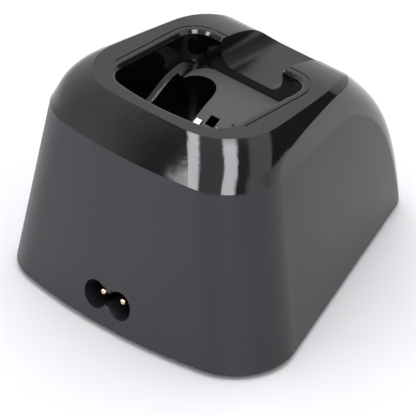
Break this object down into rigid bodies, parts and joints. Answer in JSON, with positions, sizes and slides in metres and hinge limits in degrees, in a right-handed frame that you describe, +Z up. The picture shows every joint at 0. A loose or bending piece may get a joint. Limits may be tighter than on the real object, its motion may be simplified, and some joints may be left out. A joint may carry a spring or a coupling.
{
  "type": "hair clipper charging stand",
  "caption": "Table charging stand for a cordless hair clipper: open docking pocket with sprung contacts, finger notch, sloped front and rear mains inlet.",
  "frame": {"origin": "middle of the footprint, on the surface that the feet stand on", "axes": "+Z up, +Y to the back, where the mains inlet is, -Y to the toe of the sloped front, +X to the side of the wide key well"},
  "size_m": [0.0888, 0.101, 0.0596],
  "materials": {
    "satin_shell": "satin, fine spark-eroded grain",
    "gloss_cover": "high gloss moulded",
    "grained_tray": "coarse moulded grain",
    "nickel": "bright nickel plate",
    "spring_steel": "drawn wire",
    "screw_steel": "zinc plated",
    "socket_black": "moulded, low sheen",
    "pin_brass": "plated brass, bright",
    "board": "bonded paper laminate",
    "ferrite": "sintered, dull",
    "component_plastic": "moulded",
    "winding_tape": "polyester tape",
    "capacitor_sleeve": "shrink sleeve",
    "copper_wire": "enamelled copper",
    "disc_ceramic": "dipped coating",
    "lead_mains": "insulation",
    "lead_positive": "insulation",
    "lead_negative": "insulation",
    "base_black": "moulded grain",
    "foot_rubber": "soft, matt"
  },
  "bodies": {
    "stand": {"body_shell": "satin_shell", "top_cover": "gloss_cover", "dock_tray": "grained_tray", "spring_right": "spring_steel", "spring_left": "spring_steel", "contact_card": "board", "card_screws": "screw_steel", "tray_screws": "screw_steel", "base_screws": "screw_steel", "board_screws": "screw_steel", "inlet_socket": "socket_black", "inlet_pin_right": "pin_brass", "inlet_pin_left": "pin_brass", "circuit_board": "board", "transformer_core": "ferrite", "transformer_bobbin": "component_plastic", "transformer_winding": "winding_tape", "input_capacitor": "capacitor_sleeve", "output_capacitor": "capacitor_sleeve", "choke_core": "ferrite", "choke_coil": "copper_wire", "fuse": "component_plastic", "bridge_rectifier": "component_plastic", "controller_chip": "component_plastic", "optocoupler": "component_plastic", "output_diode": "component_plastic", "disc_capacitor": "disc_ceramic", "mains_lead_right": "lead_mains", "mains_lead_left": "lead_mains", "contact_lead_right": "lead_positive", "contact_lead_left": "lead_negative", "base_plate": "base_black", "rubber_feet": "foot_rubber"},
    "contact_right": {"contact_right": "nickel"},
    "contact_left": {"contact_left": "nickel"}
  },
  "joints": [
    {"name": "contact_right_press", "type": "slide", "parent": "stand", "child": "contact_right", "axis": [0, 0, -1], "range_m": [0, 0.0012], "stiffness_N_per_m": 600, "springref_m": -0.0008, "deforming": ["spring_right"]},
    {"name": "contact_left_press", "type": "slide", "parent": "stand", "child": "contact_left", "axis": [0, 0, -1], "range_m": [0, 0.0012], "stiffness_N_per_m": 600, "springref_m": -0.0008, "deforming": ["spring_left"]}
  ]
}
